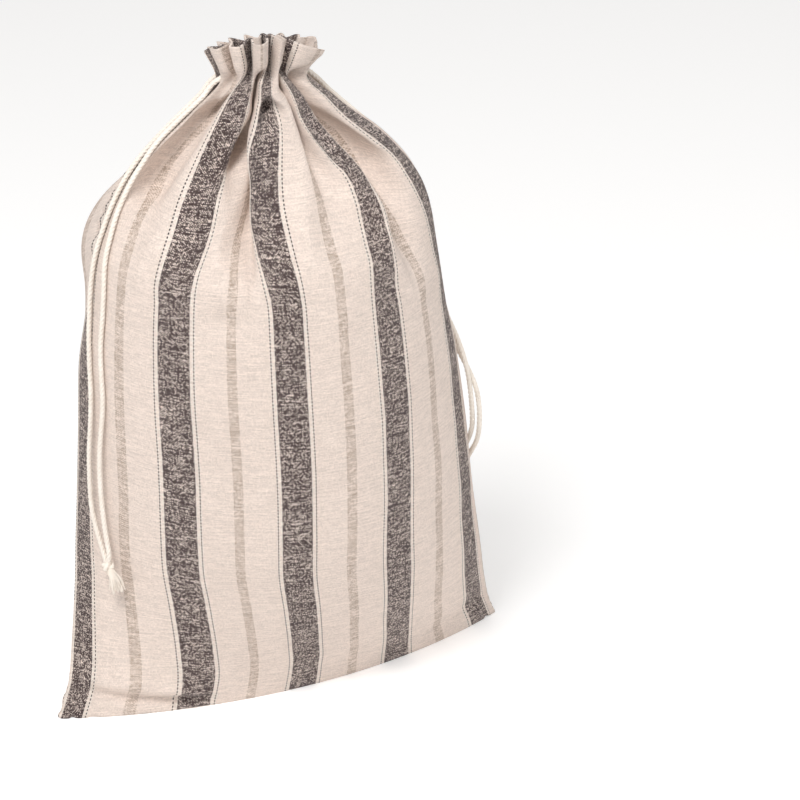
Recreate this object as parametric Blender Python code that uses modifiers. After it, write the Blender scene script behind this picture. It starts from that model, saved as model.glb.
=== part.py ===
"""Linen bread bag: two cloth panels, drawn in at the neck, with the cords' free ends at both sides."""

from collections import namedtuple
import math

import bmesh
import bpy
import numpy as np
from mathutils import Vector

# The cloth, in metres. The front faces -Y and the bag stands on Z = 0.
GATHER_LINE = 0.415          # along the cloth, from the bottom seam to the drawn-in neck
HEADING = 0.025              # the ruffle above the neck
PANEL_LENGTH = GATHER_LINE + HEADING
CLOTH_THICKNESS = 0.0012
SEAM_GAP = 0.0003
SEAM_SPREAD = 1.4            # how far the outer faces part at a seam, in cloth thicknesses
SOLE_SHARE = 0.6             # the share of the back panel's half width that lies flat under the bag
SOLE_END = 0.120             # along the cloth, where the flat sole has turned into the rounded back
DEEPEST_FOLD = 0.62          # a fold draws the cloth in by at most this share of the depth there
HEADING_FOLD_SHARE = 0.7     # how deep the neck's folds still are at the top of the ruffle
COLUMNS = 44                 # grid cells across one panel

# The drawcords' free ends.
CORD_DIAMETER = 0.0032
CORD_POINT_SPACING = 0.0065  # between the points of a strand, about two diameters
KNOT_RADIUS = 0.0036
TASSEL_LENGTH = 0.018
TASSEL_TOP_RADIUS = 0.0020
TASSEL_FOOT_RADIUS = 0.0042

# Where the rows of cells lie along the cloth: close together at the base and the neck.
ROWS = [
    0.000, 0.010, 0.021, 0.033, 0.047, 0.062, 0.080, 0.105, 0.140, 0.180, 0.220, 0.254, 0.280,
    0.302, 0.320, 0.335, 0.349, 0.362, 0.374, 0.385, 0.396, 0.406, 0.415, 0.427, 0.440,
]

# The shape of the filled bag at stations along the cloth. half_width is from the middle to a side seam and
# side_height is the seams' height. front and back are how far the middle of each panel stands out from the line
# between the seams, with front_height and back_height; the bottom seam bows forward, so the back starts below
# zero there. turn is in degrees, and drift moves the section along X.
Section = namedtuple(
    "Section", "cloth half_width side_height front front_height back back_height turn drift"
)
SECTIONS = [
    Section(0.000, 0.1455, 0.0005, 0.0290, 0.000, -0.0290, 0.000, 6.0, 0.000),
    Section(0.020, 0.1370, 0.0180, 0.0360, 0.018, -0.0090, 0.000, 4.0, 0.000),
    Section(0.045, 0.1290, 0.0420, 0.0470, 0.041, 0.0180, 0.000, -1.0, -0.001),
    Section(0.075, 0.1230, 0.0710, 0.0600, 0.069, 0.0450, 0.010, -6.0, -0.002),
    Section(0.110, 0.1185, 0.1050, 0.0710, 0.103, 0.0660, 0.036, -9.0, -0.004),
    Section(0.165, 0.1140, 0.1590, 0.0780, 0.157, 0.0770, 0.087, -9.0, -0.006),
    Section(0.230, 0.1075, 0.2240, 0.0820, 0.222, 0.0810, 0.152, -9.0, -0.010),
    Section(0.285, 0.0990, 0.2770, 0.0800, 0.276, 0.0790, 0.210, -9.0, -0.012),
    Section(0.325, 0.0870, 0.3110, 0.0650, 0.314, 0.0640, 0.262, -8.0, -0.010),
    Section(0.360, 0.0680, 0.3370, 0.0440, 0.345, 0.0440, 0.306, -6.0, -0.010),
    Section(0.390, 0.0440, 0.3580, 0.0270, 0.368, 0.0270, 0.345, -3.0, -0.011),
    Section(0.415, 0.0260, 0.3760, 0.0165, 0.382, 0.0165, 0.372, 0.0, -0.013),
    Section(0.440, 0.0330, 0.3930, 0.0210, 0.402, 0.0210, 0.392, 0.0, -0.013),
]

# The folds that the drawcord gathers, each a valley that runs down from the neck and fades at its foot.
# neck and foot are places across the panel, -1 at the left seam and 1 at the right, and reach is half the
# valley's width on that scale.
Fold = namedtuple("Fold", "neck foot foot_cloth reach depth")
FRONT_FOLDS = [
    Fold(-0.93, -0.94, 0.355, 0.09, 0.006),
    Fold(-0.70, -0.72, 0.290, 0.14, 0.011),
    Fold(-0.46, -0.50, 0.365, 0.10, 0.009),
    Fold(-0.20, -0.24, 0.310, 0.16, 0.014),
    Fold(0.05, 0.00, 0.365, 0.10, 0.008),
    Fold(0.29, 0.35, 0.325, 0.11, 0.009),
    Fold(0.53, 0.66, 0.285, 0.16, 0.013),
    Fold(0.81, 0.84, 0.350, 0.11, 0.008),
]
BACK_FOLDS = [
    Fold(-0.84, -0.82, 0.340, 0.12, 0.008),
    Fold(-0.58, -0.64, 0.295, 0.14, 0.012),
    Fold(-0.33, -0.36, 0.360, 0.11, 0.008),
    Fold(-0.06, -0.02, 0.300, 0.15, 0.013),
    Fold(0.20, 0.24, 0.350, 0.11, 0.008),
    Fold(0.44, 0.52, 0.290, 0.15, 0.012),
    Fold(0.68, 0.72, 0.345, 0.11, 0.009),
    Fold(0.92, 0.93, 0.360, 0.08, 0.006),
]


# Each side's two strands leave the neck at its seam, lie down the shoulder and end in one knot. Their points run
# from the neck down; knot is the knot's centre, and tassel is the way that the frayed ends point.
CORDS = {
    "left": {
        "a": [
            (-0.0428, 0.0004, 0.3740), (-0.0512, 0.0028, 0.3680), (-0.0630, 0.0040, 0.3575),
            (-0.0757, 0.0040, 0.3440), (-0.0888, 0.0028, 0.3285), (-0.0985, 0.0018, 0.3120),
            (-0.1065, 0.0012, 0.2950), (-0.1120, 0.0015, 0.2770), (-0.1155, 0.0018, 0.2570),
            (-0.1173, 0.0012, 0.2380), (-0.1178, -0.0005, 0.2200), (-0.1176, -0.0025, 0.2000),
            (-0.1178, -0.0025, 0.1800), (-0.1180, -0.0022, 0.1600), (-0.1176, -0.0030, 0.1300),
            (-0.1152, -0.0070, 0.1120), (-0.1126, -0.0118, 0.0990),
        ],
        "b": [
            (-0.0430, -0.0040, 0.3728), (-0.0512, -0.0026, 0.3662), (-0.0625, -0.0015, 0.3560),
            (-0.0752, -0.0018, 0.3432), (-0.0868, -0.0035, 0.3285), (-0.0957, -0.0042, 0.3140),
            (-0.1030, -0.0062, 0.2975), (-0.1078, -0.0080, 0.2830), (-0.1106, -0.0105, 0.2650),
            (-0.1124, -0.0110, 0.2480), (-0.1136, -0.0105, 0.2300), (-0.1138, -0.0118, 0.2120),
            (-0.1134, -0.0125, 0.1960), (-0.1142, -0.0102, 0.1660), (-0.1138, -0.0102, 0.1380),
            (-0.1124, -0.0120, 0.1160), (-0.1112, -0.0152, 0.0990),
        ],
        "knot": (-0.1120, -0.0136, 0.0943),
        "tassel": (0.40, -0.46, -1.00),
    },
    "right": {
        "a": [
            (0.0168, 0.0006, 0.3732), (0.0242, 0.0022, 0.3664), (0.0358, 0.0032, 0.3548),
            (0.0492, 0.0046, 0.3418), (0.0604, 0.0040, 0.3288), (0.0694, 0.0030, 0.3160),
            (0.0790, 0.0018, 0.2982), (0.0848, 0.0004, 0.2790), (0.0888, -0.0012, 0.2600),
            (0.0924, -0.0035, 0.2405), (0.0978, -0.0088, 0.2200), (0.1034, -0.0146, 0.2010),
            (0.1060, -0.0194, 0.1880), (0.1078, -0.0205, 0.1770), (0.1092, -0.0205, 0.1650),
            (0.1104, -0.0200, 0.1540), (0.1112, -0.0160, 0.1430), (0.1112, -0.0085, 0.1320),
            (0.1110, 0.0000, 0.1200), (0.1112, 0.0056, 0.1090), (0.1118, 0.0080, 0.0990),
        ],
        "b": [
            (0.0168, 0.0052, 0.3728), (0.0240, 0.0070, 0.3652), (0.0352, 0.0085, 0.3530),
            (0.0480, 0.0096, 0.3400), (0.0592, 0.0090, 0.3270), (0.0682, 0.0082, 0.3140),
            (0.0778, 0.0070, 0.2965), (0.0840, 0.0056, 0.2770), (0.0884, 0.0040, 0.2580),
            (0.0928, 0.0012, 0.2370), (0.0978, -0.0035, 0.2180), (0.1030, -0.0100, 0.1990),
            (0.1076, -0.0158, 0.1870), (0.1112, -0.0194, 0.1770), (0.1132, -0.0215, 0.1680),
            (0.1136, -0.0222, 0.1580), (0.1138, -0.0222, 0.1480), (0.1142, -0.0185, 0.1390),
            (0.1140, -0.0100, 0.1270), (0.1130, -0.0030, 0.1150), (0.1121, 0.0038, 0.0990),
        ],
        "knot": (0.1124, 0.0062, 0.0943),
        "tassel": (0.10, 0.30, -1.00),
    },
}


def section_value(name, cloth):
    """One column of SECTIONS at a distance along the cloth, on a curve that never overshoots its rows."""
    places = [row.cloth for row in SECTIONS]
    values = [getattr(row, name) for row in SECTIONS]
    steps = np.diff(places)
    slopes = np.diff(values) / steps
    tangents = np.zeros(len(values))
    tangents[0], tangents[-1] = slopes[0], slopes[-1]
    for i in range(1, len(values) - 1):
        if slopes[i - 1] * slopes[i] > 0:
            tangents[i] = 2 * slopes[i - 1] * slopes[i] / (slopes[i - 1] + slopes[i])
    i = min(int(np.searchsorted(places, cloth, side="right")) - 1, len(steps) - 1)
    s = (cloth - places[i]) / steps[i]
    start = values[i] * (1 + 2 * s) * (1 - s) ** 2 + tangents[i] * steps[i] * s * (1 - s) ** 2
    end = values[i + 1] * s * s * (3 - 2 * s) - tangents[i + 1] * steps[i] * s * s * (1 - s)
    return start + end


def fold_depth(folds, across, cloth):
    """How far the folds draw the cloth in at one place on a panel."""
    total = 0.0
    for fold in folds:
        if cloth <= fold.foot_cloth:
            continue
        run = min((cloth - fold.foot_cloth) / (GATHER_LINE - fold.foot_cloth), 1.0)
        centre = fold.foot + (fold.neck - fold.foot) * run
        away = abs(across - centre) / fold.reach
        if away >= 1.0:
            continue
        strength = run * run * (3 - 2 * run)
        if cloth > GATHER_LINE:
            strength -= (1 - HEADING_FOLD_SHARE) * (cloth - GATHER_LINE) / HEADING
        total += fold.depth * strength * 0.5 * (1 + math.cos(math.pi * away))
    return total


def panel_point(side, folds, across, cloth):
    """The place of one point of a panel's outer face; side is -1 on the front and 1 on the back."""
    name = "front" if side < 0 else "back"
    half_width = section_value("half_width", cloth)
    arc = 2 * math.atan2(section_value(name, cloth), half_width)
    if abs(arc) < 0.001:
        arc = 0.001
    angle = across * arc
    depth = half_width * (math.cos(angle) - math.cos(arc)) / math.sin(arc)
    inward = min(fold_depth(folds, across, cloth), DEEPEST_FOLD * abs(depth))
    gap = SEAM_GAP / 2 + SEAM_SPREAD * CLOTH_THICKNESS * (abs(across) if side < 0 else 1.0)
    x = half_width * math.sin(angle) / math.sin(arc) - inward * math.sin(angle)
    y = side * (depth - inward * math.cos(angle) + gap)
    sole = SOLE_SHARE * max(1 - cloth / SOLE_END, 0.0)
    edge = min(max((abs(across) - sole) / (1 - sole), 0.0), 1.0)
    mid_height = section_value(name + "_height", cloth)
    z = mid_height + (section_value("side_height", cloth) - mid_height) * edge ** 2
    turn = math.radians(section_value("turn", cloth))
    return Vector((
        x * math.cos(turn) - y * math.sin(turn) + section_value("drift", cloth),
        x * math.sin(turn) + y * math.cos(turn),
        z,
    ))


def material(name, colour, roughness):
    """A plain cloth or cord material."""
    new = bpy.data.materials.new(name)
    new.use_nodes = True
    shader = new.node_tree.nodes["Principled BSDF"]
    shader.inputs["Base Color"].default_value = (*colour, 1.0)
    shader.inputs["Roughness"].default_value = roughness
    shader.inputs["Metallic"].default_value = 0.0
    return new


def add_object(name, mesh, collection, finish):
    """Wrap a mesh in an object of the bag's collection."""
    new = bpy.data.objects.new(name, mesh)
    new.data.materials.append(finish)
    collection.objects.link(new)
    return new


def make_panel(name, side, folds, collection, finish):
    """One panel: a grid of cloth moved to its place on the filled bag, then given its thickness inwards."""
    shape = bmesh.new()
    bmesh.ops.create_grid(shape, x_segments=COLUMNS, y_segments=len(ROWS) - 1, size=1.0)
    for vert in shape.verts:
        row = round((vert.co.y + 1) / 2 * (len(ROWS) - 1))
        vert.co = panel_point(side, folds, vert.co.x, ROWS[row])
    if side > 0:
        bmesh.ops.reverse_faces(shape, faces=shape.faces)
    mesh = bpy.data.meshes.new(name)
    shape.to_mesh(mesh)
    shape.free()
    mesh.shade_smooth()
    panel = add_object(name, mesh, collection, finish)
    wall = panel.modifiers.new("thickness", "SOLIDIFY")
    wall.thickness = CLOTH_THICKNESS
    wall.offset = -1.0
    return panel


def smooth_route(points):
    """Points at an even spacing on one smooth curve through a strand's own points."""
    ends = [2 * points[0] - points[1], *points, 2 * points[-1] - points[-2]]
    fine = []
    for p0, p1, p2, p3 in zip(ends, ends[1:], ends[2:], ends[3:]):
        for step in range(20):
            s = step / 20
            fine.append(0.5 * (
                2 * p1 + (p2 - p0) * s + (2 * p0 - 5 * p1 + 4 * p2 - p3) * s * s
                + (3 * p1 - p0 - 3 * p2 + p3) * s ** 3
            ))
    fine.append(points[-1])
    fine = np.array(fine)
    run = np.concatenate([[0.0], np.cumsum(np.linalg.norm(np.diff(fine, axis=0), axis=1))])
    count = round(run[-1] / CORD_POINT_SPACING)
    places = np.linspace(0.0, run[-1], count + 1)
    return np.stack([np.interp(places, run, fine[:, axis]) for axis in range(3)], axis=1)


def make_strand(name, points, collection, finish):
    """One free end of a drawcord: a round tube along its route."""
    curve = bpy.data.curves.new(name, "CURVE")
    curve.dimensions = "3D"
    curve.bevel_depth = CORD_DIAMETER / 2
    curve.bevel_resolution = 2
    curve.use_fill_caps = True
    route = smooth_route([np.array(point) for point in points])
    spline = curve.splines.new("POLY")
    spline.points.add(len(route) - 1)
    for point, place in zip(spline.points, route):
        point.co = (*place, 1.0)
    return add_object(name, curve, collection, finish)


def make_knot(name, centre, collection, finish):
    """The knot as a round ball."""
    shape = bmesh.new()
    bmesh.ops.create_uvsphere(shape, u_segments=16, v_segments=10, radius=KNOT_RADIUS)
    mesh = bpy.data.meshes.new(name)
    shape.to_mesh(mesh)
    shape.free()
    mesh.shade_smooth()
    knot = add_object(name, mesh, collection, finish)
    knot.location = centre
    return knot


def make_tassel(name, knot_centre, way, collection, finish):
    """The frayed ends as one tuft that widens from the knot to its foot."""
    shape = bmesh.new()
    bmesh.ops.create_cone(
        shape, cap_ends=True, segments=14, depth=TASSEL_LENGTH,
        radius1=TASSEL_FOOT_RADIUS, radius2=TASSEL_TOP_RADIUS,
    )
    mesh = bpy.data.meshes.new(name)
    shape.to_mesh(mesh)
    shape.free()
    mesh.shade_smooth()
    mesh.set_sharp_from_angle(angle=math.radians(40))
    tassel = add_object(name, mesh, collection, finish)
    way = Vector(way).normalized()
    reach = KNOT_RADIUS + 0.0002 + TASSEL_LENGTH / 2
    tassel.location = Vector(knot_centre) + way * reach
    tassel.rotation_euler = (-way).to_track_quat("Z", "Y").to_euler()
    return tassel


def main():
    for old in list(bpy.data.objects):
        bpy.data.objects.remove(old, do_unlink=True)
    collection = bpy.data.collections.new("linen_bread_bag")
    bpy.context.scene.collection.children.link(collection)
    linen = material("striped_linen", (0.72, 0.64, 0.57), 0.9)
    make_panel("front_panel", -1, FRONT_FOLDS, collection, linen)
    make_panel("back_panel", 1, BACK_FOLDS, collection, linen)
    cotton = material("cotton_cord", (0.93, 0.89, 0.82), 0.85)
    frayed = material("frayed_cotton", (0.96, 0.93, 0.88), 0.9)
    for side, cords in CORDS.items():
        make_strand(f"cord_{side}_a", cords["a"], collection, cotton)
        make_strand(f"cord_{side}_b", cords["b"], collection, cotton)
        make_knot(f"knot_{side}", cords["knot"], collection, cotton)
        make_tassel(f"tassel_{side}", cords["knot"], cords["tassel"], collection, frayed)


main()
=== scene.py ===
# %% [markdown]
# # A linen bread bag, drawn in at the neck
#
# The real bag is two rectangles of striped linen sewn together down both sides and along the bottom. The
# top edge is turned down into a casing, and two cotton cords run through it and come out at the sides. This
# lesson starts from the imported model, which has the true size and the main folds, and gives each piece its
# looks. Lengths are in metres, +Z is up and the front faces -Y.

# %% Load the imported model
import math
import random
import bmesh
import bpy
from collections import namedtuple
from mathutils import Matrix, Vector, noise
from mathutils.bvhtree import BVHTree


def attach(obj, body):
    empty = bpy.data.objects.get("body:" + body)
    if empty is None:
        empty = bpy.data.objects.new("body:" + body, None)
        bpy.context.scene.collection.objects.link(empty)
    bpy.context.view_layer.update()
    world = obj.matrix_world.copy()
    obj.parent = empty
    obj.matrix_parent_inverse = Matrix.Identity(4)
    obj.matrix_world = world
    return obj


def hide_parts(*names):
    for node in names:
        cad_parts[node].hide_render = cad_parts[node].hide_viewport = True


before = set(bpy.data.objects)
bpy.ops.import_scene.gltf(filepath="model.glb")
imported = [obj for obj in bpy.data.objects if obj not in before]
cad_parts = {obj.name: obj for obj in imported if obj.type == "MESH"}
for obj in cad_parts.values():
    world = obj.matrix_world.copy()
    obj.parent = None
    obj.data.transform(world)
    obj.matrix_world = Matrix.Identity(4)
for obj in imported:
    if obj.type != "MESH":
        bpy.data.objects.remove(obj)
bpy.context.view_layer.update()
print("CAD nodes:", ", ".join(sorted(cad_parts)))

# %% [markdown]
# ## The camera
#
# The bag is seen from a little left of its front and from well above, through a long lens, so that its
# sides stay nearly upright. A camera is placed most easily by what it looks at, from which side, how high
# and how far away.

# %% Place the camera
VIEW_TARGET = Vector((0.0, 0.0, 0.19))
VIEW_AZIMUTH = -20.0
VIEW_ELEVATION = 25.0
VIEW_DISTANCE = 1.9
LENS = 148.8
SHIFT_RIGHT = 0.146
SHIFT_UP = -0.029


def direction_from(azimuth, elevation):
    """A unit vector from the object towards a viewer. Azimuth 0 is in front and grows to the bag's right."""
    a = math.radians(azimuth)
    e = math.radians(elevation)
    return Vector((math.sin(a) * math.cos(e), -math.cos(a) * math.cos(e), math.sin(e)))


camera_data = bpy.data.cameras.new("camera")
camera_data.lens = LENS
camera_data.shift_x = SHIFT_RIGHT
camera_data.shift_y = SHIFT_UP
camera = bpy.data.objects.new("camera", camera_data)
bpy.context.scene.collection.objects.link(camera)
toward_viewer = direction_from(VIEW_AZIMUTH, VIEW_ELEVATION)
camera.location = VIEW_TARGET + VIEW_DISTANCE * toward_viewer
camera.rotation_euler = toward_viewer.to_track_quat("Z", "Y").to_euler()
bpy.context.scene.camera = camera
print("camera at", [round(value, 3) for value in camera.location])

# %% [markdown]
# ## Floor and light
#
# Linen looks like linen in soft, broad light that grazes its weave. A pale floor and a bright sky fill the
# folds with warm reflected light. A lamp from the upper left gives the folds their shape, and a broader one
# from the right softens the other side. The floor glows faintly, so that it stays a plain ground. The
# Standard view transform shows colours as they are set.

# %% Make the floor, the sky and the lamps
FLOOR_SIZE = 8.0
FLOOR_COLOUR = (0.90, 0.895, 0.89, 1.0)
FLOOR_ROUGHNESS = 0.9
GLOW_COLOUR = (1.0, 1.0, 1.0, 1.0)
SKY_COLOUR = (1.0, 0.99, 0.98, 1.0)
SKY_STRENGTH = 0.52
FLOOR_GLOW = 0.24
Lamp = namedtuple("Lamp", "name azimuth elevation distance size power")
LAMPS = [
    Lamp("key_lamp", -46.0, 54.0, 1.7, 0.6, 19.5),
    Lamp("front_lamp", 46.0, 36.0, 2.4, 1.8, 14.0),
]

floor_mesh = bpy.data.meshes.new("floor")
floor_bmesh = bmesh.new()
bmesh.ops.create_grid(floor_bmesh, x_segments=1, y_segments=1, size=FLOOR_SIZE / 2)
floor_bmesh.to_mesh(floor_mesh)
floor_bmesh.free()
floor = bpy.data.objects.new("floor", floor_mesh)
bpy.context.scene.collection.objects.link(floor)
floor_finish = bpy.data.materials.new("pale_floor")
floor_finish.use_nodes = True
floor_inputs = floor_finish.node_tree.nodes["Principled BSDF"].inputs
floor_inputs["Base Color"].default_value = FLOOR_COLOUR
floor_inputs["Roughness"].default_value = FLOOR_ROUGHNESS
floor_inputs["Emission Color"].default_value = GLOW_COLOUR
floor_inputs["Emission Strength"].default_value = FLOOR_GLOW
floor_mesh.materials.append(floor_finish)

world = bpy.data.worlds.new("soft_sky")
world.use_nodes = True
world.node_tree.nodes["Background"].inputs["Color"].default_value = SKY_COLOUR
world.node_tree.nodes["Background"].inputs["Strength"].default_value = SKY_STRENGTH
bpy.context.scene.world = world
for lamp in LAMPS:
    lamp_data = bpy.data.lights.new(lamp.name, "AREA")
    lamp_data.size = lamp.size
    lamp_data.energy = lamp.power
    lamp_object = bpy.data.objects.new(lamp.name, lamp_data)
    lamp_object.location = VIEW_TARGET + lamp.distance * direction_from(lamp.azimuth, lamp.elevation)
    lamp_object.rotation_euler = direction_from(lamp.azimuth, lamp.elevation).to_track_quat("Z", "Y").to_euler()
    bpy.context.scene.collection.objects.link(lamp_object)
bpy.context.scene.view_settings.view_transform = "Standard"
print("lamps:", [lamp.name for lamp in LAMPS])

# %% [markdown]
# ## The cords' routes
#
# Each side shows two free strands of one cotton cord, about 30 cm long, which leave the casing, run down
# the shoulder and hang against the cloth. A cord is fixed in length, so its route is settled first, as
# points about 2 cm apart that a smooth curve joins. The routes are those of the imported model, with one more
# point at the start of each, hidden in the casing.

# %% Routes of the four strands
CORD_DIAMETER = 0.0032
STRANDS = {
    "cord_left_a": [
        (-0.0270, 0.0010, 0.3805),
        (-0.0428, 0.0004, 0.3740), (-0.0512, 0.0028, 0.3680), (-0.0630, 0.0040, 0.3575),
        (-0.0757, 0.0040, 0.3440), (-0.0888, 0.0028, 0.3285), (-0.0985, 0.0018, 0.3120),
        (-0.1065, 0.0012, 0.2950), (-0.1120, 0.0015, 0.2770), (-0.1155, 0.0018, 0.2570),
        (-0.1173, 0.0012, 0.2380), (-0.1178, -0.0005, 0.2200), (-0.1176, -0.0025, 0.2000),
        (-0.1178, -0.0025, 0.1800), (-0.1180, -0.0022, 0.1600), (-0.1176, -0.0030, 0.1300),
        (-0.1152, -0.0070, 0.1120), (-0.1126, -0.0118, 0.0990),
    ],
    "cord_left_b": [
        (-0.0275, -0.0030, 0.3795),
        (-0.0430, -0.0040, 0.3728), (-0.0512, -0.0026, 0.3662), (-0.0625, -0.0015, 0.3560),
        (-0.0752, -0.0018, 0.3432), (-0.0868, -0.0035, 0.3285), (-0.0957, -0.0042, 0.3140),
        (-0.1030, -0.0062, 0.2975), (-0.1078, -0.0080, 0.2830), (-0.1106, -0.0105, 0.2650),
        (-0.1124, -0.0110, 0.2480), (-0.1136, -0.0105, 0.2300), (-0.1138, -0.0118, 0.2120),
        (-0.1134, -0.0125, 0.1960), (-0.1142, -0.0102, 0.1660), (-0.1138, -0.0102, 0.1380),
        (-0.1124, -0.0120, 0.1160), (-0.1112, -0.0152, 0.0990),
    ],
    "cord_right_a": [
        (0.0088, -0.0006, 0.3788),
        (0.0168, 0.0006, 0.3732), (0.0242, 0.0022, 0.3664), (0.0358, 0.0032, 0.3548),
        (0.0492, 0.0046, 0.3418), (0.0604, 0.0040, 0.3288), (0.0694, 0.0030, 0.3160),
        (0.0790, 0.0018, 0.2982), (0.0848, 0.0004, 0.2790), (0.0888, -0.0012, 0.2600),
        (0.0924, -0.0035, 0.2405), (0.0978, -0.0088, 0.2200), (0.1034, -0.0146, 0.2010),
        (0.1060, -0.0194, 0.1880), (0.1078, -0.0205, 0.1770), (0.1092, -0.0205, 0.1650),
        (0.1104, -0.0200, 0.1540), (0.1112, -0.0160, 0.1430), (0.1112, -0.0085, 0.1320),
        (0.1110, 0.0000, 0.1200), (0.1112, 0.0056, 0.1090), (0.1118, 0.0080, 0.0990),
    ],
    "cord_right_b": [
        (0.0090, 0.0036, 0.3785),
        (0.0168, 0.0052, 0.3728), (0.0240, 0.0070, 0.3652), (0.0352, 0.0085, 0.3530),
        (0.0480, 0.0096, 0.3400), (0.0592, 0.0090, 0.3270), (0.0682, 0.0082, 0.3140),
        (0.0778, 0.0070, 0.2965), (0.0840, 0.0056, 0.2770), (0.0884, 0.0040, 0.2580),
        (0.0928, 0.0012, 0.2370), (0.0978, -0.0035, 0.2180), (0.1030, -0.0100, 0.1990),
        (0.1076, -0.0158, 0.1870), (0.1112, -0.0194, 0.1770), (0.1132, -0.0215, 0.1680),
        (0.1136, -0.0222, 0.1580), (0.1138, -0.0222, 0.1480), (0.1142, -0.0185, 0.1390),
        (0.1140, -0.0100, 0.1270), (0.1130, -0.0030, 0.1150), (0.1121, 0.0038, 0.0990),
    ],
}
KNOTS = {"left": (-0.1120, -0.0136, 0.0943), "right": (0.1124, 0.0062, 0.0943)}
print("strands:", ", ".join(STRANDS))

# %% [markdown]
# ## The cloth: how it stands
#
# Each panel is a flat rectangle, 30 cm wide and 44 cm long. A filled bag bulges, so the panel becomes a
# curved sheet: at every height its middle stands forward of the line between its side seams. A table of
# sections says, for each distance along the cloth, how wide and how deep the bag is there and how high that
# line of cloth lies. A smooth curve runs through each column of a table, without overshooting its values.

# %% Sections of the bag and the curve through a column
PANEL_WIDTH = 0.300
GATHER_LINE = 0.415
HEADING = 0.025
PANEL_LENGTH = GATHER_LINE + HEADING
CLOTH_THICKNESS = 0.0011
Section = namedtuple("Section", "cloth half_width side_height front front_height back back_height turn drift")
SECTIONS = [
    Section(0.000, 0.1455, 0.0005, 0.0290, 0.000, -0.0290, 0.000, 6.0, 0.000),
    Section(0.020, 0.1370, 0.0180, 0.0360, 0.018, -0.0090, 0.000, 4.0, 0.000),
    Section(0.045, 0.1290, 0.0420, 0.0470, 0.041, 0.0180, 0.000, -1.0, -0.001),
    Section(0.075, 0.1230, 0.0710, 0.0600, 0.069, 0.0450, 0.010, -6.0, -0.002),
    Section(0.110, 0.1185, 0.1050, 0.0710, 0.103, 0.0660, 0.036, -9.0, -0.004),
    Section(0.165, 0.1140, 0.1590, 0.0780, 0.157, 0.0770, 0.087, -9.0, -0.006),
    Section(0.230, 0.1075, 0.2240, 0.0820, 0.222, 0.0810, 0.152, -9.0, -0.010),
    Section(0.285, 0.0990, 0.2770, 0.0800, 0.276, 0.0790, 0.210, -9.0, -0.012),
    Section(0.325, 0.0870, 0.3110, 0.0650, 0.314, 0.0640, 0.262, -8.0, -0.010),
    Section(0.360, 0.0680, 0.3370, 0.0440, 0.345, 0.0440, 0.306, -6.0, -0.010),
    Section(0.390, 0.0440, 0.3580, 0.0270, 0.368, 0.0270, 0.345, -3.0, -0.011),
    Section(0.415, 0.0260, 0.3760, 0.0165, 0.382, 0.0165, 0.372, 0.0, -0.013),
    Section(0.440, 0.0330, 0.3930, 0.0210, 0.402, 0.0210, 0.392, 0.0, -0.013),
]


def curve_value(table, key, name, place):
    """The value of column name where column key is at place, on a smooth curve that never overshoots."""
    keys = [getattr(row, key) for row in table]
    values = [getattr(row, name) for row in table]
    place = min(max(place, keys[0]), keys[-1])
    index = 0
    while index < len(keys) - 2 and place > keys[index + 1]:
        index += 1

    def slope(i):
        return (values[i + 1] - values[i]) / (keys[i + 1] - keys[i])

    def tangent(i):
        if i == 0:
            return slope(0)
        if i == len(keys) - 1:
            return slope(i - 1)
        before, after = slope(i - 1), slope(i)
        return 2 * before * after / (before + after) if before * after > 0 else 0.0

    width = keys[index + 1] - keys[index]
    t = (place - keys[index]) / width
    start, end = values[index], values[index + 1]
    leave, arrive = width * tangent(index), width * tangent(index + 1)
    return (
        (2 * t**3 - 3 * t**2 + 1) * start + (t**3 - 2 * t**2 + t) * leave
        + (3 * t**2 - 2 * t**3) * end + (t**3 - t**2) * arrive
    )


print("cloth at its widest:", 2000 * SECTIONS[0].half_width, "mm across")

# %% [markdown]
# ## Pleats at the neck
#
# The cords draw 60 cm of cloth into a neck of about 13 cm, so the spare cloth goes into pleats. Where a
# pleat's ridge and valley lie is what gives this bag its face: one pleat hides the cloth between the second
# and third dark stripes, another the cloth before the last. A pleat is written as where its line lies on
# the flat cloth, where it lies around the neck, how deep it is there, and how far up the cloth it begins. A
# flute says the same for the loose heading above the casing. The spread says how far sideways the filling
# has moved each upright line of the front over the belly. All places across run from -1 at the left seam to
# 1 at the right one.

# %% Pleat tables
Pleat = namedtuple("Pleat", "cloth shoulder neck depth foot")
FRONT_PLEATS = [
    Pleat(-1.00, -1.000, -1.000, 0.000, 0.330), Pleat(-0.90, -0.955, -0.950, 0.003, 0.310),
    Pleat(-0.81, -0.890, -0.860, -0.001, 0.290), Pleat(-0.67, -0.785, -0.650, 0.022, 0.278),
    Pleat(-0.55, -0.560, -0.570, -0.001, 0.300), Pleat(-0.41, -0.376, -0.320, 0.001, 0.300),
    Pleat(-0.17, -0.215, -0.240, 0.029, 0.262), Pleat(-0.095, -0.198, -0.180, -0.002, 0.320),
    Pleat(0.03, -0.040, -0.010, 0.000, 0.310), Pleat(0.11, 0.080, 0.080, -0.001, 0.300),
    Pleat(0.23, 0.255, 0.150, 0.012, 0.295), Pleat(0.34, 0.405, 0.185, -0.001, 0.300),
    Pleat(0.48, 0.500, 0.345, 0.003, 0.290), Pleat(0.61, 0.590, 0.400, 0.024, 0.258),
    Pleat(0.76, 0.740, 0.580, -0.001, 0.285), Pleat(0.90, 0.875, 0.840, 0.000, 0.310),
    Pleat(0.95, 0.935, 0.920, 0.004, 0.330), Pleat(1.00, 1.000, 1.000, 0.000, 0.330),
]
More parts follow.
